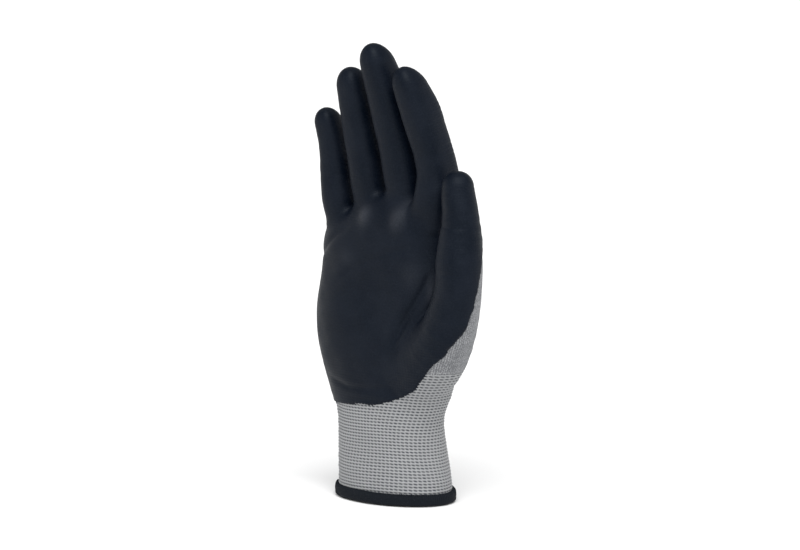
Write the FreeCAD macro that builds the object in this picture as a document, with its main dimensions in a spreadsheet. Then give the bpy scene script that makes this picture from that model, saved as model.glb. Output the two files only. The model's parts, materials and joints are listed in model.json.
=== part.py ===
"""Knitted cut-resistant work glove with a dipped palm, for the right hand.

Millimetres. +Z runs from the wrist opening to the fingertips, the palm faces
-Y and the thumb is on the +X side. The origin is the centre of the opening,
level with the bottom of the hem.
"""

import FreeCAD, Part
import math
import os
import Sketcher

Vector = FreeCAD.Vector
Placement = FreeCAD.Placement

FINGERS = ("index", "middle", "ring", "little")
DIGITS = FINGERS + ("thumb",)
SEGMENTS = {"finger": ("base", "middle", "tip"), "thumb": ("root", "base", "tip")}
CUFF_SECTIONS = ("mouth", "rib", "waist", "wrist")
PALM_SECTIONS = ("wrist", "flare", "heel", "mound", "hollow", "knuckle", "web")
THENAR_SECTIONS = ("thenar_low", "thenar_mid", "thenar_high")

# Alias, value, what the number is.
GENERAL = (
    ("liner_wall", 1.2, "thickness of the knitted liner"),
    ("coating", 0.7, "thickness of the dipped coating"),
    ("gap", 0.5, "slot left between two parts that hinge on each other"),
    ("overcut", 1.0, "how far a cutting shape runs past the face it opens"),
    ("collar_embed", 14, "length of a finger stall's root inside the palm"),
    ("hem_half_width", 35.0, "half width of the hem, middle of its band"),
    ("hem_half_depth", 23.6, "half depth of the hem, middle of its band"),
    ("hem_height", 6.0, "height of the overlocked band"),
    ("hem_thickness", 4.0, "thickness of the overlocked band"),
    ("elastic_first", 10, "height of the lowest elastic yarn"),
    ("elastic_pitch", 5, "spacing of the elastic yarns"),
    ("elastic_count", 6, "number of elastic yarns laid in the cuff"),
    ("elastic_width", 0.8, "width of an elastic yarn along the cuff"),
    ("elastic_thickness", 0.6, "thickness of an elastic yarn"),
    ("elastic_sunk", 0.3, "how deep an elastic yarn is knitted into the wall"),
    ("coat_back", 4.0, "how far behind the palm's middle plane the coating ends"),
    ("coat_lean", 3.5, "forward lean of the coating's back edge, degrees"),
    ("coat_low_z", 55, "lowest edge of the coating, at the heel of the hand"),
    ("coat_low_x", 5, "where the coating's edge starts to rise"),
    ("coat_mid_z", 71, "edge of the coating below the thumb's mound"),
    ("coat_mid_x", 30, "where that point lies across the hand"),
    ("coat_high_z", 103, "edge of the coating on the side of the thumb's mound"),
    ("coat_high_x", 66, "where that point lies across the hand"),
    ("coat_wrap", 270, "how far the coating goes round a stall, degrees"),
    ("coat_tip_band", 5, "straight part of a fingertip that is coated all round"),
    ("wrist_front", 21.0, "relief angle at the wrist, palm side, degrees"),
    ("wrist_back", 21.0, "relief angle at the wrist, back of the hand, degrees"),
)

# Section, height, centre x, centre y, half width, half depth.
SECTIONS = (
    ("mouth", 2.0, -0.3, 0.0, 34.6, 23.4),
    ("rib", 12.0, -0.6, 0.0, 34.0, 23.2),
    ("waist", 27.0, -2.0, 0.0, 32.7, 22.4),
    ("wrist", 46.0, -3.0, -0.5, 33.0, 21.0),
    ("flare", 60.0, -2.2, -0.5, 39.5, 20.6),
    ("heel", 82.0, -4.8, -2.0, 44.0, 20.0),
    ("mound", 98.0, -4.5, -3.0, 46.0, 19.0),
    ("hollow", 125.0, -1.1, -5.0, 44.0, 17.0),
    ("knuckle", 146.0, 0.1, -6.5, 41.5, 15.5),
    ("web", 158.0, 0.3, -7.5, 38.0, 11.5),
    ("thenar_low", 62.0, 16.0, -3.0, 13.0, 12.0),
    ("thenar_mid", 82.0, 37.0, -8.0, 17.0, 16.5),
    ("thenar_high", 98.0, 48.5, -11.5, 14.8, 14.8),
)

# Digit, root x, root y, root z, length, root radius, tip radius, lean.
STALLS = (
    ("index", 32.2, -8.5, 162.0, 79.5, 9.6, 8.3, -2.0),
    ("middle", 9.5, -8.5, 164.0, 88.5, 9.4, 8.2, -1.5),
    ("ring", -11.5, -8.0, 160.0, 76.5, 8.9, 7.7, -2.3),
    ("little", -31.5, -7.0, 154.0, 57.5, 7.9, 6.9, -4.3),
    ("thumb", 54.8, -13.8, 114.0, 72.0, 11.9, 8.9, 0.0),
)

# Kind of digit, turn of its root about Z, tilt of its root.
ROOTS = (
    ("finger", 0.0, 4.0),
    ("thumb", 90.0, 1.9),
)

# Hinge, place along the stall, turn, bend at rest, relief in front, behind.
HINGES = (
    ("finger_base", 0.10, 0.0, 2.5, 34.5, 4.5),
    ("finger_middle", 0.38, 0.0, 5.5, 38.5, 0.6),
    ("finger_tip", 0.68, 0.0, 5.5, 26.0, 0.6),
    ("thumb_root", 0.055, 0.0, 0.0, 16.0, 2.5),
    ("thumb_base", 0.222, -126.87, 0.0, 23.5, 3.5),
    ("thumb_tip", 0.57, 0.0, 0.0, 31.0, 5.0),
)


def dimension_rows():
    """Every driving dimension as (alias, value, meaning)."""
    rows = list(GENERAL)
    for name, height, x, y, half_width, half_depth in SECTIONS:
        rows.append((name + "_z", height, "height of this cross-section"))
        rows.append((name + "_x", x, "its centre across the hand"))
        rows.append((name + "_y", y, "its centre from palm to back"))
        rows.append((name + "_half_width", half_width, "half its width"))
        rows.append((name + "_half_depth", half_depth, "half its depth"))
    for name, x, y, z, length, root_radius, tip_radius, lean in STALLS:
        rows.append((name + "_x", x, "root of the stall across the hand"))
        rows.append((name + "_y", y, "root of the stall from palm to back"))
        rows.append((name + "_z", z, "height of the stall's root"))
        rows.append((name + "_length", length, "root to tip"))
        rows.append((name + "_root_radius", root_radius, "liner radius at the root"))
        rows.append((name + "_tip_radius", tip_radius, "liner radius at the tip"))
        rows.append((name + "_lean", lean, "sideways lean, degrees"))
    for kind, turn, tilt in ROOTS:
        rows.append((kind + "_turn", turn, "turn of the stall's root about Z, degrees"))
        rows.append((kind + "_tilt", tilt, "tilt of the stall's root, degrees"))
    for name, share, turn, bend, front, back in HINGES:
        rows.append((name + "_share", share, "place of the hinge, as a share of the length"))
        rows.append((name + "_twist", turn, "turn of the hinge axis about the stall, degrees"))
        rows.append((name + "_bend", bend, "bend at rest, degrees"))
        rows.append((name + "_front", front, "relief angle in front of the hinge, degrees"))
        rows.append((name + "_back", back, "relief angle behind the hinge, degrees"))
    return rows


def make_sheet(doc):
    """The spreadsheet that holds every driving dimension."""
    sheet = doc.addObject("Spreadsheet::Sheet", "Dims")
    for number, (alias, value, meaning) in enumerate(dimension_rows(), start=1):
        sheet.set("A%d" % number, alias)
        sheet.set("B%d" % number, str(value))
        sheet.setAlias("B%d" % number, alias)
        sheet.set("C%d" % number, meaning)
    doc.recompute()
    return sheet


# --- Expressions -----------------------------------------------------------


WRIST_FRAME = "placement(vector(Dims.wrist_x; Dims.wrist_y; Dims.wrist_z); rotation(0; 0; 0))"


def kind_of(digit):
    return "thumb" if digit == "thumb" else "finger"


def hinge_name(digit, number):
    """Sheet prefix of a stall's hinge, counted from its root."""
    kind = kind_of(digit)
    return kind + "_" + SEGMENTS[kind][number]


def hinge_turn(name):
    return "rotation(Dims.%s_twist; 0; Dims.%s_bend)" % (name, name)


def stall_frame(digit):
    """Placement of a stall's root: its own Z runs along the stall."""
    kind = kind_of(digit)
    place = "vector(Dims.%s_x; Dims.%s_y; Dims.%s_z)" % (digit, digit, digit)
    turn = "rotation(Dims.%s_turn; Dims.%s_lean; Dims.%s_tilt)" % (kind, digit, kind)
    return "placement(%s; %s)" % (place, turn)


def first_hinge_frame(digit):
    """Placement of a stall's first hinge: X is the axis and -Y the inner side."""
    name = hinge_name(digit, 0)
    step = "vector(0; 0; Dims.%s_length * Dims.%s_share)" % (digit, name)
    return "%s * placement(%s; %s)" % (stall_frame(digit), step, hinge_turn(name))


def next_hinge_frame(digit, number):
    """Placement of a later hinge, taken from the segment before it."""
    name = hinge_name(digit, number)
    before = SEGMENTS[kind_of(digit)][number - 1]
    step = "vector(0; 0; %s)" % segment_length(digit, number - 1)
    part = "liner_%s_%s" % (digit, before)
    return "%s.Placement * placement(%s; %s)" % (part, step, hinge_turn(name))


def segment_length(digit, number):
    """Length of a segment from its own hinge to the next one or to the tip."""
    here = "Dims.%s_share" % hinge_name(digit, number)
    last = number == len(SEGMENTS[kind_of(digit)]) - 1
    there = "1" if last else "Dims.%s_share" % hinge_name(digit, number + 1)
    return "Dims.%s_length * (%s - %s)" % (digit, there, here)


def stall_radius(digit, number):
    """Outer radius of the liner at a hinge: a straight taper from root to tip."""
    root = "Dims.%s_root_radius" % digit
    tip = "Dims.%s_tip_radius" % digit
    share = "Dims.%s_share" % hinge_name(digit, number)
    return "(%s + (%s - %s) * %s)" % (root, tip, root, share)


# --- Sketches and features -------------------------------------------------


def origin_plane(body, role):
    """One of the body's own origin planes, found by its role."""
    for feature in body.Origin.OriginFeatures:
        if feature.Role == role:
            return feature
    raise ValueError(role)


def attached_sketch(body, name, role):
    sketch = body.newObject("Sketcher::SketchObject", name)
    sketch.AttachmentSupport = [(origin_plane(body, role), "")]
    sketch.MapMode = "FlatFace"
    return sketch


def bind(sketch, kind, value, *where):
    """Add a dimension to a sketch and bind it to an expression."""
    number = sketch.addConstraint(
        Sketcher.Constraint(kind, *where, float(sketch.evalExpression(value)))
    )
    sketch.setExpression("Constraints[%d]" % number, value)


def ellipse_sketch(body, name, section, grow="0", lift="0"):
    """Horizontal ellipse at a cross-section of the sheet, offset by grow.

    The palm's and the cuff's ellipses start on the little finger's side, so
    that their lofts have no seam under the thumb's mound.
    """
    sketch = attached_sketch(body, name, "XY_Plane")
    centre = "Dims.%s_x; Dims.%s_y; Dims.%s_z + %s" % (section, section, section, lift)
    turn = "180" if section in PALM_SECTIONS + CUFF_SECTIONS else "0"
    frame = "placement(vector(%s); rotation(%s; 0; 0))" % (centre, turn)
    sketch.setExpression("AttachmentOffset", frame)
    half_width = "Dims.%s_half_width + %s" % (section, grow)
    half_depth = "Dims.%s_half_depth + %s" % (section, grow)
    add_ellipse(sketch, half_width, half_depth)
    return sketch


def add_ellipse(sketch, half_width, half_depth):
    """Centred ellipse whose two half sizes are expressions."""
    major = float(sketch.evalExpression(half_width))
    minor = float(sketch.evalExpression(half_depth))
    if major <= minor:
        major = minor * 1.001
    ellipse = sketch.addGeometry(Part.Ellipse(Vector(0, 0, 0), major, minor))
    sketch.exposeInternalGeometry(ellipse)
    sketch.addConstraint(Sketcher.Constraint("Coincident", ellipse, 3, -1, 1))
    sketch.addConstraint(Sketcher.Constraint("Horizontal", ellipse + 1))
    bind(sketch, "Distance", "2 * (%s)" % half_width, ellipse + 1)
    bind(sketch, "Distance", "2 * (%s)" % half_depth, ellipse + 2)


def thumb_mouth(body, grow, reach):
    """Horizontal circle where the thumb's mound ends, just below its hinge."""
    sketch = attached_sketch(body, "thumb_mouth", "XY_Plane")
    rise = "Dims.thumb_length * Dims.thumb_root_share"
    places = {
        "x": "Dims.thumb_x + %s * sin(Dims.thumb_tilt)" % rise,
        "y": "Dims.thumb_y",
        "z": "Dims.thumb_z + %s - Dims.gap / 2 + %s" % (rise, reach),
    }
    for axis, place in places.items():
        sketch.setExpression("AttachmentOffset.Base." + axis, place)
    radius = "Dims.thumb_root_radius + %s" % grow
    size = float(sketch.evalExpression(radius))
    circle = sketch.addGeometry(Part.Circle(Vector(0, 0, 0), Vector(0, 0, 1), size))
    sketch.addConstraint(Sketcher.Constraint("Coincident", circle, 3, -1, 1))
    bind(sketch, "Radius", radius, circle)
    return sketch


def outline_sketch(body, name, role, corners, rounds=()):
    """Closed outline through corners given as pairs of expressions.

    An edge whose number is in rounds is an arc about the sketch's vertical
    axis, level with whichever of its two ends lies off that axis.
    """
    sketch = attached_sketch(body, name, role)
    points = []
    for across, up in corners:
        x = float(sketch.evalExpression(across))
        y = float(sketch.evalExpression(up))
        points.append(Vector(x, y, 0))
    count = len(points)
    ends = []
    for number, start in enumerate(points):
        stop = points[(number + 1) % count]
        if number in rounds:
            off_axis = start if abs(start.x) > abs(stop.x) else stop
            centre = Vector(0, off_axis.y, 0)
            circle = Part.Circle(centre, Vector(0, 0, 1), abs(off_axis.x))
            arc = Part.ArcOfCircle(circle, math.pi / 2, math.pi)
            sketch.addGeometry(arc)
            forward = (arc.StartPoint - start).Length < (arc.EndPoint - start).Length
            ends.append((1, 2) if forward else (2, 1))
        else:
            sketch.addGeometry(Part.LineSegment(start, stop))
            ends.append((1, 2))
    for number in range(count):
        after = (number + 1) % count
        joined = (number, ends[number][1], after, ends[after][0])
        sketch.addConstraint(Sketcher.Constraint("Coincident", *joined))
    for number, (across, up) in enumerate(corners):
        corner = (-1, 1, number, ends[number][0])
        bind(sketch, "DistanceX", across, *corner)
        bind(sketch, "DistanceY", up, *corner)
    for number in rounds:
        sketch.addConstraint(Sketcher.Constraint("PointOnObject", number, 3, -2))
    return sketch


def loft(body, name, sketches, sign="Additive"):
    """Additive or subtractive loft through horizontal sections."""
    feature = body.newObject("PartDesign::%sLoft" % sign, name)
    feature.Profile = sketches[0]
    feature.Sections = sketches[1:]
    feature.Refine = False
    return feature


def primitive(body, kind, name, frame, sizes):
    """PartDesign primitive at a frame, with its sizes bound to the sheet."""
    feature = body.newObject("PartDesign::" + kind, name)
    feature.AttachmentSupport = [(origin_plane(body, "XY_Plane"), "")]
    feature.MapMode = "FlatFace"
    feature.setExpression("AttachmentOffset", frame)
    feature.Refine = False
    for prop, value in sizes.items():
        feature.setExpression(prop, value)
    return feature


def notch(body, name, frame, hinge, reach):
    """V-shaped relief in front of and behind a hinge, its apex on the axis.

    The walls beside the hinge can then swing towards each other without
    meeting, on the inner side (-Y of the frame) and on the outer side.
    """
    slot = "Dims.gap / 2"
    for side, sign in (("front", -1), ("back", 1)):
        spread = "(%s + %s * tan(Dims.%s_%s))" % (slot, reach, hinge, side)
        wide, narrow = (spread, slot), (slot, spread)
        near, far = (wide if sign < 0 else narrow)
        sizes = {
            "Xmin": "-(%s)" % reach,
            "Xmax": reach,
            "X2min": "-(%s)" % reach,
            "X2max": reach,
            "Ymin": "-(%s)" % reach if sign < 0 else "0",
            "Ymax": "0" if sign < 0 else reach,
            "Zmin": "-(%s)" % near,
            "Zmax": near,
            "Z2min": "-(%s)" % far,
            "Z2max": far,
        }
        primitive(body, "SubtractiveWedge", "%s_%s" % (name, side), frame, sizes)


def revolve(body, name, sketch, angle=None):
    """Revolution about the body's Z, whole or centred on the palm side."""
    feature = body.newObject("PartDesign::Revolution", name)
    feature.Profile = sketch
    feature.ReferenceAxis = (sketch, ["V_Axis"])
    if angle is None:
        feature.Angle = 360
    else:
        feature.Midplane = True
        feature.setExpression("Angle", angle)
    return feature


def new_body(doc, name):
    body = doc.addObject("PartDesign::Body", name)
    body.Label = name
    return body


# --- Palm ------------------------------------------------------------------


def palm_form(doc, name, grow, drop, reach):
    """The palm, the thenar mound and the roots of the five stalls, as one solid.

    The same shapes, offset by grow, make the outside of a layer and the form
    that hollows it. A hollowing form drops below the wrist and its stalls
    reach past their ends, so that it leaves them open.
    """
    body = new_body(doc, name)
    sections = []
    for section in PALM_SECTIONS:
        lift = {"wrist": "Dims.gap / 2 - " + drop, "web": grow}.get(section, "0")
        sections.append(ellipse_sketch(body, section, section, grow, lift))
    loft(body, "palm", sections)
    mound = []
    for section in THENAR_SECTIONS:
        mound.append(ellipse_sketch(body, section, section, grow))
    mound.append(thumb_mouth(body, grow, reach))
    loft(body, "thenar", mound)
    for digit in FINGERS:
        hinge = hinge_name(digit, 0)
        back = "placement(vector(0; 0; -Dims.collar_embed); rotation(0; 0; 0))"
        run = "Dims.collar_embed + Dims.%s_length * Dims.%s_share" % (digit, hinge)
        sizes = {
            "Radius": "Dims.%s_root_radius + %s" % (digit, grow),
            "Height": "%s - Dims.gap / 2 + %s" % (run, reach),
        }
        frame = "%s * %s" % (stall_frame(digit), back)
        primitive(body, "AdditiveCylinder", digit + "_root", frame, sizes)
    return body


def palm_notches(body, grow):
    """Relief at the wrist and at the root of each stall."""
    notch(body, "wrist_relief", WRIST_FRAME, "wrist", "(Dims.flare_half_width * 1.2)")
    for digit in DIGITS:
        reach = "((Dims.%s_root_radius + %s) * 1.2)" % (digit, grow)
        frame = first_hinge_frame(digit)
        notch(body, digit + "_relief", frame, hinge_name(digit, 0), reach)


def hollow(doc, name, outside, inside):
    """Shell between two forms."""
    shell = doc.addObject("Part::Cut", name)
    shell.Label = name
    shell.Base = outside
    shell.Tool = inside
    return shell


def make_liner_palm(doc):
    """Knitted tube over the palm, with the thumb's gusset and five openings."""
    outside = palm_form(doc, "liner_outside", "0", "0", "0")
    palm_notches(outside, "0")
    past = "Dims.overcut"
    inside = palm_form(doc, "liner_inside", "(-Dims.liner_wall)", past, past)
    return hollow(doc, "liner_palm", outside, inside)


def make_coat_palm(doc):
    """Dipped coating over the front of the palm, up to the stalls' roots."""
    outside = palm_form(doc, "coating_outside", "Dims.coating", "0", "0")
    bare_back(outside)
    bare_heel(outside)
    palm_notches(outside, "Dims.coating")
    inside = palm_form(doc, "coating_inside", "0", "Dims.overcut", "Dims.overcut")
    return hollow(doc, "coat_palm", outside, inside)


def bare_back(body):
    """Take the coating off the back of the hand."""
    corner = "vector(-Dims.thumb_x * 2; Dims.coat_back; 0)"
    frame = "placement(%s; rotation(0; 0; Dims.coat_lean))" % corner
    sizes = {
        "Length": "Dims.thumb_x * 4",
        "Width": "Dims.thumb_x",
        "Height": "Dims.middle_z * 1.5",
    }
    primitive(body, "SubtractiveBox", "back", frame, sizes)


def bare_heel(body):
    """Take the coating off the wrist and the side of the thumb's mound."""
    side = "Dims.thumb_x * 2"
    corners = (
        ("-" + side, "0"),
        (side, "0"),
        (side, "Dims.coat_high_z + 5"),
        ("Dims.coat_high_x", "Dims.coat_high_z"),
        ("Dims.coat_mid_x", "Dims.coat_mid_z"),
        ("Dims.coat_low_x", "Dims.coat_low_z"),
        ("-" + side, "Dims.coat_low_z"),
    )
    pocket = body.newObject("PartDesign::Pocket", "heel_pocket")
    pocket.Profile = outline_sketch(body, "coating_edge", "XZ_Plane", corners)
    pocket.Refine = False
    pocket.SideType = "Symmetric"
    pocket.Type = "ThroughAll"


# --- Finger and thumb stalls -----------------------------------------------


def tube_outline(body, name, inner, outer, low, high):
    """Straight-sided wall: inner and outer are (low radius, high radius)."""
    corners = (
        ("-" + inner[0], low),
        ("-" + outer[0], low),
        ("-" + outer[1], high),
        ("-" + inner[1], high),
    )
    return outline_sketch(body, name, "YZ_Plane", corners)


def dome_outline(body, name, inner, outer, low, band, centre):
    """Tapered wall, a straight band and a round end closed on the axis."""
    corners = (
        ("-" + inner[0], low),
        ("-" + outer[0], low),
        ("-" + outer[1], band),
        ("-" + outer[1], centre),
        ("0", "%s + %s" % (centre, outer[1])),
        ("0", "%s + %s" % (centre, inner[1])),
        ("-" + inner[1], centre),
        ("-" + inner[1], band),
    )
    return outline_sketch(body, name, "YZ_Plane", corners, rounds=(3, 5))


def cap_outline(body, name, inner, outer, band, centre):
    """The straight band and round end of a fingertip's coating."""
    corners = (
        ("-" + outer, band),
        ("-" + outer, centre),
        ("0", "%s + %s" % (centre, outer)),
        ("0", "%s + %s" % (centre, inner)),
        ("-" + inner, centre),
        ("-" + inner, band),
    )
    return outline_sketch(body, name, "YZ_Plane", corners, rounds=(1, 3))


def segment_notches(body, digit, number, grow):
    """Relief at a segment's own hinge and at the hinge that it carries."""
    reach = "(%s * 1.15 + %s)" % (stall_radius(digit, number), grow)
    own = "placement(vector(0; 0; 0); rotation(0; 0; 0))"
    notch(body, "own_relief", own, hinge_name(digit, number), reach)
    if number < len(SEGMENTS[kind_of(digit)]) - 1:
        after = hinge_name(digit, number + 1)
        step = "vector(0; 0; %s)" % segment_length(digit, number)
        turned = "placement(%s; rotation(Dims.%s_twist; 0; 0))" % (step, after)
        notch(body, "next_relief", turned, after, reach)


def make_segment(doc, digit, number, layer):
    """One stretch of a stall, as its knitted liner or its dipped coating."""
    segment = SEGMENTS[kind_of(digit)][number]
    body = new_body(doc, "%s_%s_%s" % (layer, digit, segment))
    is_tip = number == len(SEGMENTS[kind_of(digit)]) - 1
    low = "Dims.gap / 2"
    length = segment_length(digit, number)
    near = stall_radius(digit, number)
    far = "Dims.%s_tip_radius" % digit if is_tip else stall_radius(digit, number + 1)
    if layer == "liner":
        inner = ("(%s - Dims.liner_wall)" % near, "(%s - Dims.liner_wall)" % far)
        outer = (near, far)
        wrap = None
        grow = "0"
    else:
        inner = (near, far)
        outer = ("(%s + Dims.coating)" % near, "(%s + Dims.coating)" % far)
        wrap = "Dims.coat_wrap"
        grow = "Dims.coating"
    if is_tip:
        centre = "%s - %s - Dims.coating" % (length, far)
        band = "%s - Dims.coat_tip_band" % centre
        if layer == "liner":
            wall = dome_outline(body, "stall_wall", inner, outer, low, band, centre)
            revolve(body, "stall", wall)
        else:
            wall = tube_outline(body, "side_wall", inner, outer, low, band)
            revolve(body, "side", wall, wrap)
            cap = cap_outline(body, "cap_wall", inner[1], outer[1], band, centre)
            revolve(body, "cap", cap)
    else:
        high = "%s - Dims.gap / 2" % length
        wall = tube_outline(body, "stall_wall", inner, outer, low, high)
        revolve(body, "stall", wall, wrap)
    segment_notches(body, digit, number, grow)
    if layer == "coat":
        body.setExpression("Placement", "liner_%s_%s.Placement" % (digit, segment))
    elif number == 0:
        body.setExpression("Placement", first_hinge_frame(digit))
    else:
        body.setExpression("Placement", next_hinge_frame(digit, number))
    return body


# --- Cuff ------------------------------------------------------------------


def make_cuff_knit(doc):
    """Ribbed tube round the wrist, open at both ends."""
    body = new_body(doc, "cuff_knit")
    for sign, grow, past in (
        ("Additive", "0", "0"),
        ("Subtractive", "(-Dims.liner_wall)", "Dims.overcut"),
    ):
        sections = []
        for name in CUFF_SECTIONS:
            lift = {"mouth": "-" + past, "wrist": past + " - Dims.gap / 2"}.get(name, "0")
            title = "%s_%s" % (sign, name)
            sections.append(ellipse_sketch(body, title, name, grow, lift))
        loft(body, sign + "_cuff", sections, sign)
    notch(body, "wrist_relief", WRIST_FRAME, "wrist", "(Dims.flare_half_width * 1.2)")
    return body


def make_hem(doc):
    """Overlocked band sewn round the raw edge of the cuff."""
    body = new_body(doc, "hem_overlock")
    path = attached_sketch(body, "hem_path", "XY_Plane")
    path.setExpression("AttachmentOffset.Base.z", "Dims.hem_height / 2")
    add_ellipse(path, "Dims.hem_half_width", "Dims.hem_half_depth")
    band = attached_sketch(body, "hem_band", "XZ_Plane")
    offset = "placement(vector(Dims.hem_half_width; Dims.hem_height / 2; 0); rotation(0; 0; 0))"
    band.setExpression("AttachmentOffset", offset)
    add_slot(band, "Dims.hem_thickness", "Dims.hem_height")
    pipe = body.newObject("PartDesign::AdditivePipe", "hem")
    pipe.Profile = band
    pipe.Spine = (path, ["Edge1"])
    return body


def add_slot(sketch, width, height):
    """Upright slot with round ends, centred on the sketch's origin."""
    radius = float(sketch.evalExpression(width)) / 2
    rise = float(sketch.evalExpression(height)) / 2 - radius
    normal = Vector(0, 0, 1)
    top = Part.Circle(Vector(0, rise, 0), normal, radius)
    foot = Part.Circle(Vector(0, -rise, 0), normal, radius)
    sketch.addGeometry(Part.ArcOfCircle(top, 0, math.pi))
    sketch.addGeometry(Part.LineSegment(Vector(-radius, rise, 0), Vector(-radius, -rise, 0)))
    sketch.addGeometry(Part.ArcOfCircle(foot, math.pi, 2 * math.pi))
    sketch.addGeometry(Part.LineSegment(Vector(radius, -rise, 0), Vector(radius, rise, 0)))
    for number in range(4):
        after = (number + 1) % 4
        sketch.addConstraint(Sketcher.Constraint("Tangent", number, 2, after, 1))
    sketch.addConstraint(Sketcher.Constraint("Symmetric", 0, 3, 2, 3, -1, 1))
    sketch.addConstraint(Sketcher.Constraint("Vertical", 1))
    bind(sketch, "Radius", "%s / 2" % width, 0)
    bind(sketch, "DistanceY", "%s - %s" % (height, width), 2, 3, 0, 3)


def make_elastic(doc, sheet):
    """Rings of covered elastic yarn knitted into the inside of the cuff."""
    rings = []
    first = sheet.waist_z - sheet.rib_z
    for number in range(int(sheet.elastic_count)):
        height = sheet.elastic_first + number * sheet.elastic_pitch
        share = (height - sheet.rib_z) / first
        centre_x = sheet.rib_x + share * (sheet.waist_x - sheet.rib_x)
        outer = []
        for size in ("half_width", "half_depth"):
            low = getattr(sheet, "rib_" + size)
            high = getattr(sheet, "waist_" + size)
            wall = sheet.liner_wall - sheet.elastic_sunk
            outer.append(low + share * (high - low) - wall)
        faces = []
        for inset in (0, sheet.elastic_thickness):
            centre = Vector(centre_x, 0, height)
            ellipse = Part.Ellipse(centre, outer[0] - inset, outer[1] - inset)
            faces.append(Part.Face(Part.Wire(ellipse.toShape())))
        band = faces[0].cut(faces[1])
        rings.append(band.extrude(Vector(0, 0, sheet.elastic_width)))
    feature = doc.addObject("Part::Feature", "cuff_elastic")
    feature.Label = "cuff_elastic"
    feature.Shape = Part.makeCompound(rings)
    feature.Placement = Placement()
    return feature


# --- Document --------------------------------------------------------------


def check_document(doc, parts):
    """Stop if an object failed or a shape is missing or invalid."""
    for item in doc.Objects:
        if "Invalid" in item.State or "Error" in item.State:
            raise RuntimeError("%s: %s" % (item.Label, item.State))
        if item.TypeId == "PartDesign::Body":
            check_cuts(item)
    for part in parts:
        shape = part.Shape
        if shape.isNull() or not shape.isValid():
            raise RuntimeError("bad shape: " + part.Label)


def check_cuts(body):
    """Every subtractive feature has to take material away."""
    volume = 0
    for feature in body.Group:
        if not hasattr(feature, "AddSubShape"):
            continue
        after = feature.Shape.Volume
        cuts = "Subtractive" in feature.TypeId or "Pocket" in feature.TypeId
        if cuts and after > volume + 1e-6:
            raise RuntimeError("%s in %s adds material" % (feature.Name, body.Label))
        volume = after


def build():
    """Make the document and return it with its sub-parts."""
    doc = FreeCAD.newDocument("glove")
    sheet = make_sheet(doc)
    parts = [make_liner_palm(doc), make_coat_palm(doc)]
    for layer in ("liner", "coat"):
        for digit in DIGITS:
            for number in range(len(SEGMENTS[kind_of(digit)])):
                parts.append(make_segment(doc, digit, number, layer))
    parts.append(make_cuff_knit(doc))
    parts.append(make_elastic(doc, sheet))
    parts.append(make_hem(doc))
    doc.recompute()
    check_document(doc, parts)
    return doc, parts


def export(parts):
    os.makedirs("parts", exist_ok=True)
    for part in parts:
        part.Shape.exportStep("parts/%s.step" % part.Label)
        box = part.Shape.BoundBox
        print("%-20s %2d solids %8.1f mm3 z %.1f..%.1f" % (
            part.Label, len(part.Shape.Solids), part.Shape.Volume, box.ZMin, box.ZMax))


document, sub_parts = build()
export(sub_parts)
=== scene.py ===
import json
import math

import bpy
import numpy as np
from mathutils import Matrix, Vector


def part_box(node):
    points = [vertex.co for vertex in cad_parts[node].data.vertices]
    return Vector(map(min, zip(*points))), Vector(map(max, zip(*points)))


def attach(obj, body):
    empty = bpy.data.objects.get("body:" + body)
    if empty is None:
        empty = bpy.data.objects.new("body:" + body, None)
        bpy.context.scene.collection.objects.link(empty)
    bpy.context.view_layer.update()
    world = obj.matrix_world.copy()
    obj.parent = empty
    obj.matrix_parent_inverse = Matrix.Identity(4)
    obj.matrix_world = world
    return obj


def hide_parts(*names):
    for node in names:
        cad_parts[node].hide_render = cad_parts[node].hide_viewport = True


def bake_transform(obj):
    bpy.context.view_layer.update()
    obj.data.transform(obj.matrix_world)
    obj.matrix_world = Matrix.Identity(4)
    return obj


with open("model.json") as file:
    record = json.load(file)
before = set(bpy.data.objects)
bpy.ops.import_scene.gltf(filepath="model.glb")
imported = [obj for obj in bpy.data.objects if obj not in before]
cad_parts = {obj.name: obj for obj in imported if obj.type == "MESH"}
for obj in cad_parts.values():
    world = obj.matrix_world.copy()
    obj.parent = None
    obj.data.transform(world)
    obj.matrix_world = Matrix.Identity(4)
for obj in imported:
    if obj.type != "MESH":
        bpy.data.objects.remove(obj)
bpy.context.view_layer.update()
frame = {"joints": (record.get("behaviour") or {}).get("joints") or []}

# Looks of the cut resistant glove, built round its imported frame. Working
# lengths are millimetres and become metres when a mesh is made.

MM = 0.001
# Grid step of the sampled field, and the field's value away from a form.
STEP = 0.55
FAR = 14.0

JOINTS = {joint["name"]: joint for joint in frame["joints"]}
FINGERS = ("index", "middle", "ring", "little")
STRETCHES = ("base", "middle", "tip")

# Palm: height, centre x, centre y, half width, half depth.
PALM = np.array((
    (-4, 0, 0, 35, 23.6),
    (2, -0.3, 0, 34.6, 23.4),
    (12, -0.6, 0, 34, 23.2),
    (27, -2, 0, 32.7, 22.4),
    (46, -3, -0.5, 33, 21),
    (60, -2.6, -0.8, 39, 20.6),
    (82, -4.3, -2, 43.5, 20),
    (98, -3.8, -3, 45.3, 19),
    (125, -0.8, -5, 42.9, 17),
    (146, -0.4, -6.5, 41, 14.6),
    (166, 1.1, -7.8, 39.2, 11.5),
))
# Height of the palm's top across the hand: x, z.
PALM_TOP = np.array(((-46, 156), (-32, 156.5), (-21, 157.5), (-10, 163),
                     (-1, 166), (10, 166), (20, 165), (33, 162.5), (46, 158)))
# Thumb and its mound: centre x, y, z, radius.
THUMB = np.array((
    (17, -3, 62, 14),
    (22.5, -4.5, 69, 16.5),
    (35.5, -8, 82, 16.6),
    (47.8, -12.4, 98, 14.4),
    (55.8, -14.5, 118, 12.5),
    (57.3, -15.4, 134, 12.5),
    (58.1, -15.5, 147, 11.2),
    (58.6, -16.2, 160, 9.2),
    (57.4, -16.6, 170, 8.4),
    (57, -16.6, 176.2, 7.7),
))
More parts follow.
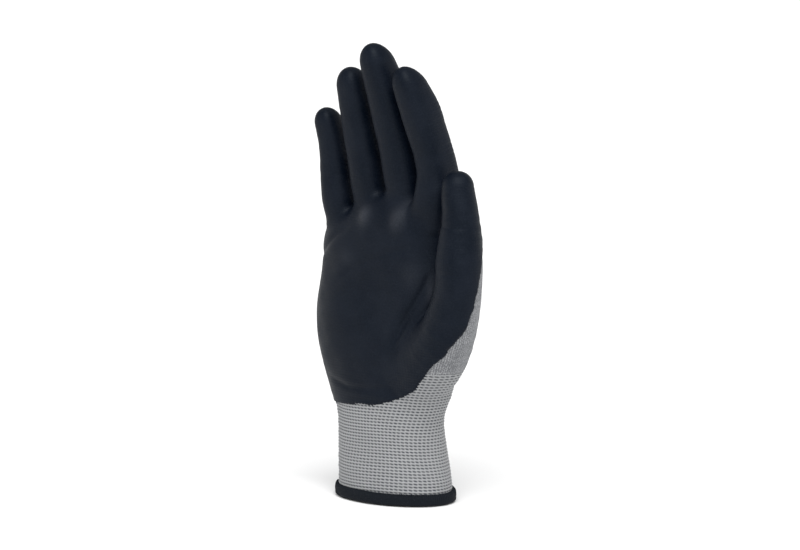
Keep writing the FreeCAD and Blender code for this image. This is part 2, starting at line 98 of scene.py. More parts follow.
# Finger sections: height above the first hinge as a share of the rest of
# the finger, half width, half depth, shift across, shift to the back.
SECTIONS = {
    "index": (
        (-0.35, 7.8, 8.8, -1.4, 0.4), (-0.1, 11.2, 11.6, 0.8, 2), (0, 10.6, 11.9, 2.4, 3),
        (0.14, 9.2, 10.5, 3, 3.3), (0.32, 8.6, 10, 2.1, 2.3), (0.5, 8.6, 10, 1, 0.9),
        (0.66, 8.6, 9.9, 0, 0.1), (0.82, 7.6, 8.7, -1.4, -0.9), (1, 6, 6.8, -2.9, -2.1)),
    "middle": (
        (-0.35, 9.9, 11.2, 2.5, 3), (0, 9.7, 11.3, 2.8, 4), (0.16, 9.6, 11.4, 2.4, 3.3),
        (0.32, 9.3, 11.1, 1.6, 2.2), (0.5, 8.9, 10.5, 0.7, 0.9), (0.66, 8.6, 10, 0.1, 0.1),
        (0.82, 7.8, 8.8, -0.7, -0.6), (1, 6.5, 7.1, -1.5, -1.3)),
    "ring": (
        (-0.35, 9.3, 10.6, 1, 1.8), (0, 9.2, 10.8, 1.2, 2.2), (0.16, 9, 10.7, 0.9, 1.6),
        (0.32, 8.5, 10, 0.5, 0.8), (0.5, 8.2, 9.5, 0.2, 0.3), (0.66, 8, 9.1, 0.3, 0.1),
        (0.82, 7.5, 8.4, 0.5, 0.3), (1, 6.8, 7.4, 0.6, 0.4)),
    "little": (
        (-0.35, 6.6, 8.4, 1.6, 0), (-0.12, 8, 9.2, 0.3, 0), (0, 8.2, 9.4, 0, 0),
        (0.16, 8, 9.2, 0, 0), (0.32, 7.8, 8.9, 0.2, 0.1), (0.5, 6.9, 7.9, 0.5, 0.3),
        (0.66, 6.6, 7.4, 0.8, 0.5), (0.82, 6.3, 6.9, 0.9, 0.6), (1, 5.9, 6.4, 0.8, 0.6)),
}
# How much further the fingertips bend at rest, and how far each ends below
# the top of its CAD box.
REST_BEND = math.radians(5.5)
TIP_DROP = {"index": 1.7, "middle": 1.7, "ring": 0.9, "little": 0.2}
# Length of the domed ends of the palm and of the fingers.
PALM_DOME = 26.0
FINGER_DOME = {"index": 10.0, "middle": 10.0, "ring": 10.0, "little": 8.5}
# Over this length a finger's lower end fades into the palm.
ROOT_FADE = 12.0
# Widths of the smooth joins: finger to finger, fingers to palm, and thumb
# to palm, which is widest over the thumb's mound.
FINGER_BLEND = 1.2
PALM_BLEND = 5.0
THUMB_BLEND = 1.5
MOUND_BLEND = 7.5
# Boxes that hold the palm's field, the thumb's field and the sampled grid.
PALM_REGION = (-90, -60, -20), (90, 60, 182)
THUMB_REGION = (-14, -44, 30), (84, 34, 200)
SKIN_REGION = (-56.0, -40.0, 38.0), (76.0, 26.0, 256.0)


# --- Field ---


def smooth(t):
    """0 up to t = 0, 1 from t = 1, and an even S between."""
    t = np.clip(t, 0.0, 1.0)
    return t * t * (3.0 - 2.0 * t)


def curve(at, xs, ys):
    """Value at each place of the smooth curve through given points."""
    xs, ys = np.asarray(xs, float), np.asarray(ys, float)
    slope = np.gradient(ys, xs)
    i = np.clip(np.searchsorted(xs, at) - 1, 0, len(xs) - 2)
    h = xs[i + 1] - xs[i]
    t = np.clip((at - xs[i]) / h, 0.0, 1.0)
    a, b = ys[i], ys[i + 1]
    return ((1 + 2 * t) * (1 - t) ** 2 * a + t * (1 - t) ** 2 * h * slope[i]
            + t * t * (3 - 2 * t) * b + t * t * (t - 1) * h * slope[i + 1])


def unit(vectors):
    return vectors / np.maximum(np.linalg.norm(vectors, axis=1, keepdims=True), 1e-12)


def smin(a, b, k):
    """The smaller of two values, rounded where they are closer than k."""
    h = np.clip(1.0 - np.abs(a - b) / k, 0.0, 1.0)
    return np.minimum(a, b) - h * h * k * 0.25


def rounded(x, y, rise, a, b, reach, n, m):
    """About how far points lie outside a superellipse tube with a domed end."""
    u, v = np.abs(x) / a + 1e-6, np.abs(y) / b + 1e-6
    qs = (u ** n + v ** n) ** (1 / n)
    dx, dy = (u / qs) ** (n - 1) / a, (v / qs) ** (n - 1) / b
    w = np.maximum(rise, 0.0) / reach + 1e-6
    q = (qs ** m + w ** m) ** (1 / m)
    ds, dw = (qs / q) ** (m - 1), (w / q) ** (m - 1)
    steep = np.sqrt(ds ** 2 * (dx ** 2 + dy ** 2) + (dw / reach) ** 2)
    return (q - 1.0) / np.maximum(steep, 0.5 / np.minimum(a, b))


def palm_section(z):
    """Centre and half sizes of the palm's section at each height."""
    return [curve(z, PALM[:, 0], PALM[:, i]) for i in (1, 2, 3, 4)]


def palm_field(p):
    cx, cy, a, b = palm_section(p[:, 2])
    top = curve(p[:, 0], PALM_TOP[:, 0], PALM_TOP[:, 1])
    return rounded(p[:, 0] - cx, p[:, 1] - cy, p[:, 2] - (top - PALM_DOME), a, b, PALM_DOME, 2.1, 3.2)


class Finger:
    """One finger's smooth shape, in a frame at its first hinge."""

    def __init__(self, name):
        self.name = name
        hinges = [JOINTS["%s_%s_flex" % (name, part)] for part in STRETCHES]
        points = [np.array(hinge["pos_m"]) / MM for hinge in hinges]
        self.x = np.array(hinges[0]["axis"])
        last = points[2] - points[1]
        turn = Matrix.Rotation(REST_BEND, 3, Vector(self.x))
        last = np.array(turn @ Vector(last / np.linalg.norm(last)))
        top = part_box("coat_%s_tip" % name)[1].z / MM - TIP_DROP[name]
        tip = points[2] + last * ((top - points[2][2]) / last[2])
        up = points[2] - points[0]
        self.z = up / np.linalg.norm(up)
        self.y = np.cross(self.z, self.x)
        self.origin = points[0]
        local = (np.array(points + [tip]) - self.origin) @ np.array((self.x, self.y, self.z)).T
        self.hinges = local[:3, 2]
        self.length = local[3, 2]
        self.dome = FINGER_DOME[name]
        rows = np.array(SECTIONS[name])
        heights = rows[:, 0] * self.length
        self.table = np.linspace(heights[0] - 5, self.length + 5, 400)
        # The centre line runs on into the palm, a little to its back.
        path_z = np.concatenate(((heights[0] - 5, -12.0), local[:, 2]))
        path_y = np.concatenate(((1.0, 0.4), local[:, 1]))
        self.centre_y = curve(self.table, path_z, path_y) + curve(self.table, heights, rows[:, 4])
        self.centre_x = curve(self.table, heights, rows[:, 3])
        self.half_width = curve(self.table, heights, rows[:, 1])
        self.half_depth = curve(self.table, heights, rows[:, 2])

    def local(self, p):
        return (p - self.origin) @ np.array((self.x, self.y, self.z)).T

    def place(self, q):
        return self.origin + q @ np.array((self.x, self.y, self.z))

    def span(self, low, high):
        """Places at two heights on the axis of the finger's frame."""
        return self.place(np.array([(0, 0, low), (0, 0, high)], float))

    def section(self, q):
        """Place in the section at each point, and the section's half sizes."""
        s = q[:, 2]
        cx = np.interp(s, self.table, self.centre_x)
        cy = np.interp(s, self.table, self.centre_y)
        lean = np.interp(s, self.table, np.gradient(self.centre_y, self.table))
        x, y = q[:, 0] - cx, (q[:, 1] - cy) / np.sqrt(1 + lean ** 2)
        a = np.interp(s, self.table, self.half_width)
        b = np.interp(s, self.table, self.half_depth)
        return x, y, a, b

    def field(self, p):
        q = self.local(p)
        x, y, a, b = self.section(q)
        rise = q[:, 2] - (self.length - self.dome)
        value = rounded(x, y, rise, a, b, self.dome, 2.6, 2.1)
        value += 8.0 * smooth((self.table[0] + ROOT_FADE - q[:, 2]) / ROOT_FADE)
        return np.where(q[:, 2] < self.table[0], FAR, value)


FORMS = [Finger(name) for name in FINGERS]


def refined(rows, count):
    """More points along the smooth curve through the rows."""
    at = np.linspace(0, len(rows) - 1, count)
    return np.stack([curve(at, np.arange(len(rows)), rows[:, i]) for i in range(rows.shape[1])], 1)


THUMB_PATH = refined(THUMB, 22)


def to_segment(p, low, high):
    """How far along a segment the nearest place to each point is, and how far away."""
    step = high - low
    t = np.clip((p - low) @ step / (step @ step), 0, 1)
    return t, np.linalg.norm(p - low - t[:, None] * step, axis=1)


def thumb_field(p):
    best = np.full(len(p), FAR)
    for low, high in zip(THUMB_PATH[:-1], THUMB_PATH[1:]):
        t, away = to_segment(p, low[:3], high[:3])
        best = np.minimum(best, away - (low[3] + t * (high[3] - low[3])))
    return best


def near(p, low, high, function):
    """The function's value inside a box and FAR outside it."""
    inside = np.all((p > low) & (p < high), axis=1)
    value = np.full(len(p), FAR)
    if inside.any():
        value[inside] = function(p[inside])
    return value


def part_fields(p):
    """Palm, thumb and finger fields at each point."""
    palm = near(p, *PALM_REGION, palm_field)
    thumb = near(p, *THUMB_REGION, thumb_field)
    fingers = []
    for form in FORMS:
        ends = form.span(form.table[0] - 2, form.length + 12)
        low = ends.min(0) - (26, 30, 2)
        high = ends.max(0) + (26, 26, 2)
        fingers.append(near(p, low, high, form.field))
    return palm, thumb, fingers


def joined(palm, thumb, fingers, z):
    """One field from those of the parts, with smooth joins."""
    value = fingers[0]
    for finger in fingers[1:]:
        value = smin(value, finger, FINGER_BLEND)
    value = smin(palm, value, PALM_BLEND)
    width = THUMB_BLEND + MOUND_BLEND * smooth((118.0 - z) / 24.0) * smooth((z - 58.0) / 26.0)
    return smin(value, thumb, width)


def glove_field(p):
    return joined(*part_fields(p), p[:, 2])


# --- Surface ---


def sample(low, high, step):
    """The field on a grid of points, worked out a few layers at a time."""
    counts = [math.ceil((b - a) / step) + 1 for a, b in zip(low, high)]
    xs, ys, zs = [a + step * np.arange(n) for a, n in zip(low, counts)]
    grid = np.empty(counts, np.float32)
    flat_x, flat_y = [g.ravel() for g in np.meshgrid(xs, ys, indexing="ij")]
    layers = 6
    for start in range(0, counts[2], layers):
        heights = zs[start:start + layers]
        slab = [np.stack((flat_x, flat_y, np.full(len(flat_x), z)), 1) for z in heights]
        values = glove_field(np.concatenate(slab)).reshape(len(heights), counts[0], counts[1])
        grid[:, :, start:start + layers] = np.moveaxis(values, 0, 2)
    return grid


def surface_net(grid, low, step):
    """Vertices and quads along the zero surface of a sampled field."""
    strides = np.array((grid.shape[1] * grid.shape[2], grid.shape[2], 1))
    inside = grid < 0
    cells, points = [], []
    for axis in range(3):
        first, second = [slice(None)] * 3, [slice(None)] * 3
        first[axis], second[axis] = slice(0, -1), slice(1, None)
        crossing = inside[tuple(first)] != inside[tuple(second)]
        where = np.argwhere(crossing)
        a, b = grid[tuple(first)][crossing], grid[tuple(second)][crossing]
        point = where.astype(float)
        point[:, axis] += a / (a - b)
        u, v = (axis + 1) % 3, (axis + 2) % 3
        ring = []
        for du, dv in ((0, 0), (1, 0), (1, 1), (0, 1)):
            cell = where.copy()
            cell[:, u] -= du
            cell[:, v] -= dv
            ring.append(cell @ strides)
        ring = np.stack(ring, 1)
        outside_first = a >= 0
        ring[outside_first] = ring[outside_first][:, ::-1]
        whole = (where[:, u] > 0) & (where[:, v] > 0)
        cells.append(ring[whole])
        points.append(np.repeat(point[whole], 4, 0))
    points = np.concatenate(points)
    inverse = np.unique(np.concatenate(cells), return_inverse=True)[1].ravel()
    count = np.bincount(inverse)
    vertices = np.stack([np.bincount(inverse, points[:, i]) / count for i in range(3)], 1)
    return np.asarray(low) + vertices * step, inverse.reshape(-1, 4)


def gradient(function, p, h=0.12):
    """Slope of the function at each point, by central differences."""
    parts = []
    for axis in range(3):
        step = np.zeros(3)
        step[axis] = h
        parts.append(function(p + step) - function(p - step))
    return np.stack(parts, 1) / (2 * h)


def settle(p, rounds=3, reach=0.5, level=False):
    """Points moved onto the zero surface, sideways only if level, and its normals."""
    for _ in range(rounds):
        grad = gradient(glove_field, p)
        if level:
            grad[:, 2] = 0.0
        size = np.sum(grad * grad, 1, keepdims=True)
        shift = glove_field(p)[:, None] * grad / np.maximum(size, 0.05)
        p = p - np.clip(shift, -reach, reach)
    return p, unit(gradient(glove_field, p, 0.3))


def vertex_normals(p, quads):
    """Normals of the mesh, weighted by the faces' areas."""
    a, b = p[quads[:, 2]] - p[quads[:, 0]], p[quads[:, 3]] - p[quads[:, 1]]
    face = np.cross(a, b)
    total = np.zeros_like(p)
    for corner in range(4):
        for axis in range(3):
            total[:, axis] += np.bincount(quads[:, corner], face[:, axis], len(p))
    return unit(total)


# Which form a point lies on, and the charts of the knit: the palm's, one for
# each finger from 1 on, and the thumb's.
ON_PALM, ON_FINGER, ON_THUMB = 0, 1, 2
PALM_CHART, THUMB_CHART = 0, 5
THUMB_CHART_LOW = 118.0
FINGER_CHART_LOW = -3.0


class Skin:
    """Points on the glove's outside, their normals and the form each lies on."""

    def __init__(self, p, n):
        self.p, self.n = p, n
        self.palm, self.thumb, fingers = part_fields(p)
        self.finger = np.argmin(np.stack(fingers), 0)
        best = np.min(np.stack(fingers), 0)
        self.kind = np.where(best < np.minimum(self.palm, self.thumb) + 0.001, ON_FINGER, ON_PALM)
        self.kind = np.where(self.thumb < np.minimum(self.palm, best), ON_THUMB, self.kind)
        high_thumb = (self.kind == ON_THUMB) & (p[:, 2] > THUMB_CHART_LOW)
        self.chart = np.where(high_thumb, THUMB_CHART, PALM_CHART)
        for number, form in enumerate(FORMS):
            mine = self.on_finger(number) & (form.local(p)[:, 2] > FINGER_CHART_LOW)
            self.chart = np.where(mine, number + 1, self.chart)

    def on_finger(self, number):
        return (self.kind == ON_FINGER) & (self.finger == number)


def make_skin():
    """The whole outside above the wrist as quads."""
    low, high = SKIN_REGION
    points, quads = surface_net(sample(low, high, STEP), low, STEP)
    skin = Skin(*settle(points))
    skin.quads = quads
    return skin


# --- Pieces ---


def add_object(name, data):
    obj = bpy.data.objects.new(name, data)
    bpy.context.scene.collection.objects.link(obj)
    return obj


def make_object(name, vertices, faces, material, normals, uv, marks):
    """Mesh object from arrays in millimetres; uv has one pair per face corner,
    and marks hold one value per vertex for the materials to read."""
    mesh = bpy.data.meshes.new(name)
    mesh.vertices.add(len(vertices))
    mesh.vertices.foreach_set("co", (vertices * MM).astype(np.float32).ravel())
    size = faces.shape[1]
    mesh.loops.add(faces.size)
    mesh.loops.foreach_set("vertex_index", faces.astype(np.int32).ravel())
    mesh.polygons.add(len(faces))
    mesh.polygons.foreach_set("loop_start", np.arange(0, faces.size, size, dtype=np.int32))
    mesh.update(calc_edges=True)
    mesh.polygons.foreach_set("use_smooth", np.ones(len(faces), bool))
    layer = mesh.uv_layers.new(name="knit")
    layer.uv.foreach_set("vector", uv.astype(np.float32).ravel())
    rest = mesh.attributes.new("rest", "FLOAT_VECTOR", "POINT")
    rest.data.foreach_set("vector", vertices.astype(np.float32).ravel())
    for key, values in marks.items():
        layer = mesh.attributes.new(key, "FLOAT", "POINT")
        layer.data.foreach_set("value", values.astype(np.float32))
    if normals is not None:
        mesh.normals_split_custom_set_from_vertices(normals.astype(np.float32))
    mesh.materials.append(material)
    return add_object(name, mesh)


def compact(faces, *arrays):
    """Only the vertices that the faces use, with their own numbering."""
    used, inverse = np.unique(faces.ravel(), return_inverse=True)
    return inverse.reshape(faces.shape), [array[used] for array in arrays]


# --- Knit coordinates ---

# Wales are the knit's columns, counted once round, and courses its rows, in
# millimetres.
PALM_WALES = 104
FINGER_WALES = 28
THUMB_WALES = 34
COURSE = 1.45
CUFF_WALES = 72
CUFF_COURSE = 1.7
CUFF_SLANT = 0.24
# Half sizes of the ellipses that the wales are counted round, and the line
# that the thumb's are counted round.
PALM_OVAL = 44.0, 19.0
FINGER_OVAL = 10.0, 11.0
THUMB_OVAL = 12.0, 12.0
CUFF_OVAL = 34.0, 22.8
THUMB_LINE = 56.0, -14.0


def ellipse_shares(a, b, count):
    """Angles all round an ellipse, and the share of its outline up to each."""
    angles = np.linspace(-math.pi, math.pi, count)
    ring = np.stack((a * np.sin(angles), b * np.cos(angles)), 1)
    steps = np.linalg.norm(np.diff(ring, axis=0), axis=1)
    return angles, np.concatenate(((0,), np.cumsum(steps))) / steps.sum()


def turn_share(x, y, a, b):
    """Share of the way round an ellipse, measured along it, from the back."""
    return np.interp(np.arctan2(x / a, -y / b), *ellipse_shares(a, b, 721))


def corner_uv(skin, chosen):
    """Wale and course at each corner of the chosen faces."""
    quads = skin.quads[chosen]
    uv = np.zeros(quads.shape + (2,))
    kind = np.max(skin.chart[quads], axis=1)
    for chart in np.unique(kind):
        faces = kind == chart
        corners = quads[faces]
        used, inverse = np.unique(corners.ravel(), return_inverse=True)
        x, y, height = skin.p[used].T
        if chart == PALM_CHART:
            cx, cy, _, _ = palm_section(height)
            wales = PALM_WALES
            u = turn_share(x - cx, y - cy, *PALM_OVAL)
        elif chart == THUMB_CHART:
            wales = THUMB_WALES
            u = turn_share(x - THUMB_LINE[0], y - THUMB_LINE[1], *THUMB_OVAL)
        else:
            form = FORMS[chart - 1]
            q = form.local(skin.p[used])
            x, y, _, _ = form.section(q)
            height = q[:, 2]
            wales = FINGER_WALES
            u = turn_share(x, y, *FINGER_OVAL)
        u = (u * wales)[inverse].reshape(corners.shape)
        v = (height / COURSE)[inverse].reshape(corners.shape)
        wrapped = u.max(1) - u.min(1) > wales / 2
        u[wrapped] = np.where(u[wrapped] < wales / 2, u[wrapped] + wales, u[wrapped])
        uv[faces, :, 0], uv[faces, :, 1] = u, v
    return uv.reshape(-1, 2)


def knit_share(skin):
    """1 where the knit lies true on the skin, 0 where it would be stretched."""
    p = skin.p
    cx, cy, a, b = palm_section(p[:, 2])
    way = np.stack(((p[:, 0] - cx) / a ** 2, (p[:, 1] - cy) / b ** 2, np.zeros(len(p))), 1)
    for number, form in enumerate(FORMS):
        mine = skin.chart == number + 1
        x, y, a, b = form.section(form.local(p[mine]))
        way[mine] = np.outer(x / a ** 2, form.x) + np.outer(y / b ** 2, form.y)
    thumb = skin.chart == THUMB_CHART
    middle, level = (57.0, -15.5, 0.0), (1.0, 1.0, 0.0)
    way[thumb] = (p[thumb] - middle) * level
    return smooth((np.sum(unit(way) * skin.n, 1) - 0.45) / 0.35)


# --- Relief of the skin ---


def waves(p, seed, scale):
    """Smooth irregular value between about -1 and 1."""
    rng = np.random.default_rng(seed)
    total = np.zeros(len(p))
    for _ in range(7):
        way = rng.normal(size=3)
        way *= rng.uniform(0.6, 1.6) / (scale * np.linalg.norm(way))
        total += np.sin(p @ (way * 2 * math.pi) + rng.uniform(0, 6.28))
    return total / 3.4


def groove(distance, width):
    """1 on a line, fading to 0 away from it."""
    return np.exp(-(distance / width) ** 2)


def line_distance(p, line):
    """Distance across the palm's plane to a drawn line, and the place on it."""
    flat = p[:, [0, 2]]
    best, place = np.full(len(p), 1e9), np.zeros(len(p))
    line = np.asarray(line, float)
    for i, (low, high) in enumerate(zip(line[:-1], line[1:])):
        t, away = to_segment(flat, low, high)
        closer = away < best
        best = np.where(closer, away, best)
        place = np.where(closer, (i + t) / (len(line) - 1), place)
    return best, place


# Creases of the palm: depth, width, then x and z along each.
PALM_CREASES = (
    (0.5, 1.5, ((-44, 127), (-36, 134), (-25, 143), (-12, 151))),
    (0.55, 1.8, ((30, 141), (12, 137), (-10, 127), (-26, 118))),
    (1.3, 2.1, ((37, 131), (34, 121), (28, 110), (20, 97), (15, 84))),
    (0.45, 1.6, ((-38, 66), (-16, 61), (10, 63), (28, 70))),
)
# Depths of a finger's creases at its three hinges, and the thumb's creases:
# height and depth.
FINGER_CREASES = (0.05, 0.14, 0.12)
THUMB_CREASES = ((130, 0.25), (155, 0.35))

# Pads and hollows of the palm: x, z, width, height, rise, and painted sheen, a lighter coating colour that
# stands in for the pads' highlights.
PADS = (
    (-29, 143, 8, 9, 0.8, 0.1),
    (-5, 155.5, 4, 5.5, 1.4, 0.8),
    (17, 156, 4.2, 7.5, 1.3, 0.6),
    (29, 147, 8, 9, 0.7, 0),
    (-28, 96, 15, 26, 1.2, 0),
    (4, 112, 16, 18, -1.6, 0),
    (14, 76, 12, 14, 0.6, 0),
    (26, 126, 6, 7, 0, 0.22),
    (36, 118, 2.2, 7, 0.5, 0.35),
    (-16, 132, 5, 4, 0.3, 0.18),
)
RISE, SHEEN_PAINT = 4, 5


def facing_palm(skin):
    """1 where the skin faces the palm's side, 0 at the back."""
    return smooth((-skin.n[:, 1] + 0.25) / 0.6)


def pads(skin, column):
    """Sum over the palm's pads of their RISE, or of their painted sheen, the lighter colour put in place of
    their highlights.
    """
    p = skin.p
    total = np.zeros(len(p))
    for pad in PADS:
        x, z, width, tall = pad[:4]
        total += pad[column] * np.exp(-((p[:, 0] - x) / width) ** 2 - ((p[:, 2] - z) / tall) ** 2)
    return total * facing_palm(skin) * smooth((168.0 - p[:, 2]) / 12.0)


def crease_palm(height, skin):
    """Press the palm's creases in, each with a low swelling beside it."""
    share = facing_palm(skin)
    on_palm = smooth((158.0 - skin.p[:, 2]) / 18.0)
    for depth, width, line in PALM_CREASES:
        away, place = line_distance(skin.p, line)
        ends = smooth(place / 0.22) * smooth((1 - place) / 0.22)
        height -= depth * groove(away, width) * ends * share * on_palm
        height += 0.35 * depth * groove(away - 2.6 * width, 1.5 * width) * ends * share * on_palm


def finger_relief(form, p):
    """Creases inside a finger's hinges, and knuckles with folds outside."""
    q = form.local(p)
    x, y, a, b = form.section(q)
    palmar = smooth((-y / b + 0.35) / 0.8)
    dorsal = 1.0 - palmar
    height = np.zeros(len(q))
    for hinge, depth in zip(form.hinges, FINGER_CREASES):
        s = q[:, 2] - hinge - 0.05 * x ** 2 / a
        height -= depth * palmar * groove(s, 1.8)
        height += 0.15 * depth * palmar * (groove(s - 4.2, 2.4) + groove(s + 4.2, 2.4))
        height += 0.2 * dorsal * groove(s, 7.0)
        height -= 0.16 * dorsal * (groove(s - 2.6, 0.9) + groove(s, 0.9) + groove(s + 2.6, 0.9))
    return height * smooth((q[:, 2] + 6) / 10.0)


def crease_thumb(height, skin):
    """Press in the creases on the thumb's side that faces the palm."""
    thumb = skin.kind == ON_THUMB
    z = skin.p[thumb, 2]
    inner = smooth((-(skin.n[thumb] @ np.array((0.6, 0.8, 0.0))) + 0.3) / 0.9)
    inner *= smooth((skin.palm[thumb] - 1.0) / 6.0)
    for at, depth in THUMB_CREASES:
        height[thumb] -= depth * inner * groove(z - at, 1.5)
        height[thumb] += 0.2 * depth * inner * (groove(z - at - 4.8, 2.8) + groove(z - at + 4.8, 2.8))


def relief(skin):
    """Height of folds, creases and soft unevenness, along the normals."""
    p = skin.p
    height = 0.28 * waves(p, 3, 46.0) + 0.12 * waves(p, 5, 17.0)
    crease_palm(height, skin)
    height += pads(skin, RISE)
    # The fold between palm and thumb, and ripples just above the cuff.
    fold = groove(skin.palm - skin.thumb, 2.6) * (skin.thumb < 6.0)
    height -= 0.8 * fold * smooth((p[:, 2] - 72.0) / 30.0)
    low = smooth((84.0 - p[:, 2]) / 26.0)
    height += 0.13 * low * np.sin(p[:, 2] * 1.15 + 0.6 * waves(p, 8, 60.0)) * waves(p, 9, 70.0)
    for number, form in enumerate(FORMS):
        mine = skin.on_finger(number)
        height[mine] += finger_relief(form, p[mine])
    crease_thumb(height, skin)
    return height


# --- Coating edge ---

# The edge over the heel of the hand, then how far back it lies on the palm's
# sides and on the thumb, by height.
EDGE_X = (-60, -31, -10, 3, 17, 30, 44, 61, 80)
EDGE_Z = (48.5, 50.2, 52.3, 53.6, 58, 64.8, 78.8, 91.6, 95.6)
SIDE_EDGE_Z = (45, 62, 80, 140, 165)
SIDE_EDGE_Y = (-6, -1.5, 1, -1, -1)
THUMB_EDGE_Z = (90, 96.7, 110.5, 126.6, 137, 144.7, 152)
THUMB_EDGE_Y = (-19.2, -18.4, -16.2, -14.2, -11.2, -8.2, -5.8)
# On a finger: degrees round from its palm side, and how much of its tip is
# coated all round.
FINGER_EDGE_ANGLE = 138.0
COATED_TIP = 23.0


def coating_reach(skin):
    """How far inside the coating's edge each vertex lies, in mm."""
    p = skin.p
    x, y, z = p.T
    slope = np.interp(x, EDGE_X, np.gradient(EDGE_Z, EDGE_X))
    low = (z - curve(x, EDGE_X, EDGE_Z)) / np.sqrt(1 + slope ** 2)
    back_palm = np.interp(z, SIDE_EDGE_Z, SIDE_EDGE_Y) - y
    back_thumb = np.interp(z, THUMB_EDGE_Z, THUMB_EDGE_Y) - y
    thumb_side = smooth((x - 45.0) / 9.0) * smooth((z - 80) / 10.0)
    beside = smooth((148.0 - z) / 12.0)
    back = back_palm + thumb_side * np.where(skin.kind == ON_THUMB, 1.0, beside) * (back_thumb - back_palm)
    reach = smin(low, back, 9.0)
    for number, form in enumerate(FORMS):
        mine = skin.finger == number
        q = form.local(p[mine])
        across, out, a, b = form.section(q)
        angle = np.degrees(np.abs(np.arctan2(across / a, -out / b)))
        side = np.radians(FINGER_EDGE_ANGLE - angle) * 10.0
        tip = q[:, 2] - (form.length - COATED_TIP)
        on_finger = -smin(-side, -tip, 12.0)
        share = smooth((z[mine] - 148.0) / 14.0) * (skin.kind[mine] != ON_THUMB)
        reach[mine] += share * (on_finger - reach[mine])
    # The edge follows the knit's rows in small steps.
    steps = 0.45 * np.sign(np.sin(z * math.pi / COURSE)) * np.sin(x * 2.9 + y * 1.3)
    return reach + 0.3 * waves(p, 21, 12.0) + 0.4 * steps


# --- Cutting into pieces ---

# A stretch of a finger or thumb begins at its cut and bends between a start
# and an end. These are heights: the fingers' in the finger's own frame, the
# thumb's above the table. WEB is where each finger's base is cut off.
WEB = {"index": -0.9, "middle": -3.5, "ring": 0.0, "little": -1.0}
THUMB_STRETCHES = ("root", "base", "tip")
THUMB_CUTS = ((116.5, 117.2, 124.4), (125, 125.6, 140), (142, 144, 167))
WRIST_BEND = (-3.0, -0.5, 36.0), (-3.0, -0.5, 62.0)


def finger_cuts(form):
    """(cut, bend start, bend end) of a finger's three stretches."""
    web = WEB[form.name]
    first, second, third = form.hinges
    middle_cut = second - 0.46 * (second - max(first, web + 4)) + 1.5
    tip_cut = third - 0.46 * (third - second)
    return ((web, web + 0.6, middle_cut - 0.6),
            (middle_cut, middle_cut + 0.6, tip_cut - 0.6),
            (tip_cut, tip_cut + 0.6, third + 0.42 * (third - second)))


def thumb_span(start, end):
    return (*THUMB_LINE, start), (*THUMB_LINE, end)


def split(skin):
    """Number of the piece that each face belongs to, with names and bends."""
    middle = skin.p[skin.quads].mean(1)
    kind = skin.kind[skin.quads].min(1)
    finger = skin.finger[skin.quads[:, 0]]
    chains = []
    for number, form in enumerate(FORMS):
        mine = (kind == ON_FINGER) & (finger == number)
        stretches = zip(STRETCHES, finger_cuts(form))
        chains.append((form.name, mine, form.local(middle)[:, 2], stretches, form.span))
    stretches = zip(THUMB_STRETCHES, THUMB_CUTS)
    chains.append(("thumb", kind == ON_THUMB, middle[:, 2], stretches, thumb_span))

    piece = np.zeros(len(middle), int)
    names = ["palm"]
    bends = [("cuff", "palm", *WRIST_BEND)]
    for chain, mine, height, stretches, span in chains:
        before = "palm"
        for stretch, (cut, start, end) in stretches:
            body = "%s_%s" % (chain, stretch)
            names.append(body)
            bends.append((before, body, *span(start, end)))
            piece[mine & (height > cut)] = len(names) - 1
            before = body
    return piece, names, bends


# --- Making the skin's pieces ---


def add_skin():
    """Liner and coating pieces over the palm, the fingers and the thumb."""
    skin = make_skin()
    height = relief(skin)
    reach = coating_reach(skin)
    # The coating stands proud of the liner and dives under it at its edge.
    rise = -0.35 + 1.05 * smooth((reach + 0.6) / 1.4)
    liner = skin.p + skin.n * height[:, None]
    coat = skin.p + skin.n * (height + rise)[:, None]
    above_cuff = skin.p[skin.quads][:, :, 2].min(1) > CUFF_TOP - 3.0
    coated = reach[skin.quads].min(1) > -1.2
    layers = (("liner", "liner_knit", liner, vertex_normals(liner, skin.quads), above_cuff),
              ("coat", "coating", coat, vertex_normals(coat, skin.quads), coated))
    # The third mark is painted highlight: it lightens the coating on the palm's pads and thenar ridge in
    # place of their sheen.
    marks = {"edge": reach, "fair": knit_share(skin), "wear": pads(skin, SHEEN_PAINT)}
    piece, names, bends = split(skin)
    for number, (name, (before, after, start, end)) in enumerate(zip(names, bends)):
        for layer, slot, surface, surface_normals, shown in layers:
            chosen = (piece == number) & shown
            faces, (points, normals, *values) = compact(
                skin.quads[chosen], surface, surface_normals, *marks.values())
            obj = make_object("%s_skin_%s" % (layer, name), points, faces, MATERIALS[layer],
                              normals, corner_uv(skin, chosen), dict(zip(marks, values)))
            [c * MM for c in start]
            [c * MM for c in end]
            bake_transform(obj)
            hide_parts("%s_%s" % (layer, name))


# --- Cuff, hem and elastic ---

CUFF_LOW = 2.0
CUFF_TOP = 77.0
# Loops of thread round the hem, and the height of the band's middle.
HEM_LOOPS = 168
HEM_MIDDLE = 3.0
# The elastic rings: number, lowest height, step, windings of each, radius.
ELASTIC_RINGS = 6
ELASTIC_LOW = 10.4
ELASTIC_PITCH = 5.0
ELASTIC_WINDS = 150
ELASTIC_RADIUS = 0.5


def ring_points(share, z, inset=0.0):
    """Points round the glove's tube at given shares of the way round."""
    angles, shares = ellipse_shares(*CUFF_OVAL, 1441)
    angle = np.interp(share % 1.0, shares, angles)
    cx, cy, a, b = palm_section(z)
    x = cx + (a - inset) * np.sin(angle)
    y = cy - (b - inset) * np.cos(angle)
    return np.stack((x, y, z), 1)


def even_rings(p, rows):
    """Space the points of each row evenly round the glove's own outline."""
    out = p.reshape(rows, -1, 3).copy()
    for row in out:
        loop = np.concatenate((row, row[:1]))
        steps = np.concatenate(((0.0,), np.cumsum(np.linalg.norm(np.diff(loop, axis=0), axis=1))))
        at = np.arange(len(row)) / len(row) * steps[-1]
        row[:, 0], row[:, 1] = np.interp(at, steps, loop[:, 0]), np.interp(at, steps, loop[:, 1])
    return out.reshape(-1, 3)


